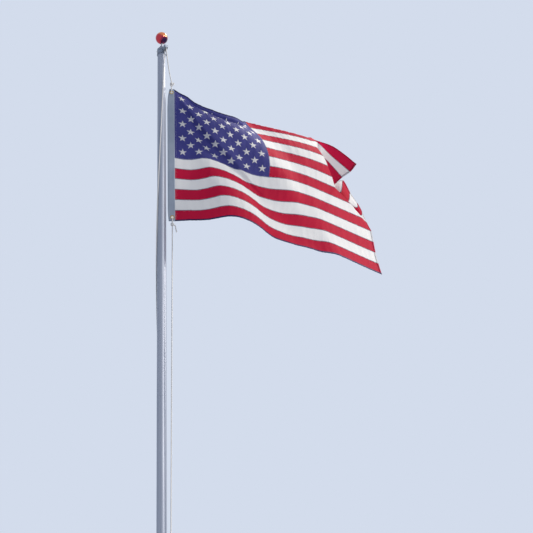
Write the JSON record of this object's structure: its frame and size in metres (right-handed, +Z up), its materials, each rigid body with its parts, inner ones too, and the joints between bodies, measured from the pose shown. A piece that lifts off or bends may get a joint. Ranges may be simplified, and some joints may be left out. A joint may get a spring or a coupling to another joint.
{
  "type": "flagpole",
  "caption": "Sectional tube flagpole with a ball finial, cap truck with a pulley, rope halyard, cleat and a flying stars and stripes flag.",
  "frame": {"origin": "centre of the pole's foot, at ground level", "axes": "+Z up along the pole, +X towards the fly of the flag, -Y to the front"},
  "size_m": [1.4106, 0.6349, 5.403],
  "materials": {
    "tube": "satin anodised",
    "casting": "as cast, tumbled",
    "steel": "zinc plated",
    "sheave": "moulded nylon",
    "gilt": "polished, gold anodised",
    "rope": "braided polyester",
    "canvas": "woven tape",
    "brass": "rolled",
    "blue_cloth": "dyed nylon",
    "red_cloth": "dyed nylon",
    "white_cloth": "nylon"
  },
  "bodies": {
    "pole": {"pole_section_1": "tube", "pole_section_2": "tube", "pole_section_3": "tube", "pole_section_4": "tube", "pole_section_5": "tube", "truck_cap": "casting", "truck_screw_left": "steel", "truck_screw_right": "steel", "sheave_pin": "steel", "finial_spindle": "steel", "finial_nut": "steel", "finial_ball": "gilt", "halyard_upper": "rope", "halyard_turns": "rope", "halyard_lower": "rope", "knot_upper": "rope", "knot_lower": "rope", "cleat": "casting", "cleat_screw_top": "steel", "cleat_screw_bottom": "steel", "heading": "canvas", "grommet_upper": "brass", "grommet_lower": "brass", "canton": "blue_cloth", "stripe_01": "red_cloth", "stripe_02": "white_cloth", "stripe_03": "red_cloth", "stripe_04": "white_cloth", "stripe_05": "red_cloth", "stripe_06": "white_cloth", "stripe_07": "red_cloth", "stripe_08": "white_cloth", "stripe_09": "red_cloth", "stripe_10": "white_cloth", "stripe_11": "red_cloth", "stripe_12": "white_cloth", "stripe_13": "red_cloth"},
    "pulley": {"sheave": "sheave"}
  },
  "joints": [
    {"name": "sheave_spin", "type": "hinge", "parent": "pole", "child": "pulley", "pos_m": [0.02367, -0.05075, 5.251], "axis": [0.9063, 0.4226, 0], "continuous": true}
  ]
}
